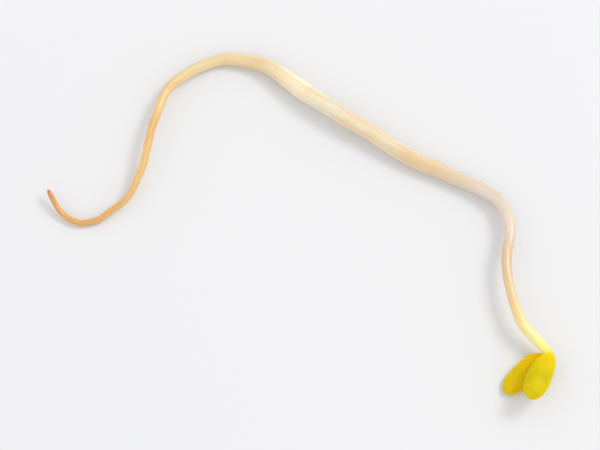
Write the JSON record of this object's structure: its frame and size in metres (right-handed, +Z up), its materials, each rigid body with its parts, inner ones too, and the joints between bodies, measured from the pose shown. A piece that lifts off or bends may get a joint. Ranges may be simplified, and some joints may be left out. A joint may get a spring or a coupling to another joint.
{
  "type": "alfalfa sprout",
  "caption": "Young alfalfa sprout lying on its side: hooked cream stem, half-open yellow-green seed leaves, curling golden root",
  "frame": {"origin": "on the surface that the sprout lies on, under the middle of its box", "axes": "+Z up, away from that surface; +X along the sprout's longest side, from the root tip's end to the seed leaves' end; +Y across it, to the side where root and stem join"},
  "size_m": [0.0386, 0.0274, 0.0026],
  "materials": {
    "stem": "satin living stem skin, cream, yellower at the neck, slightly translucent",
    "root": "satin root skin, golden cream, tan at the tip",
    "seed_leaf": "satin fleshy leaf, yellow-green, slightly translucent",
    "bud": "satin folded leaf bud, pale yellow-green"
  },
  "bodies": {
    "root": {"hypocotyl": "stem", "root": "root", "cotyledon_upper": "seed_leaf", "cotyledon_lower": "seed_leaf", "plumule": "bud"}
  },
  "joints": []
}
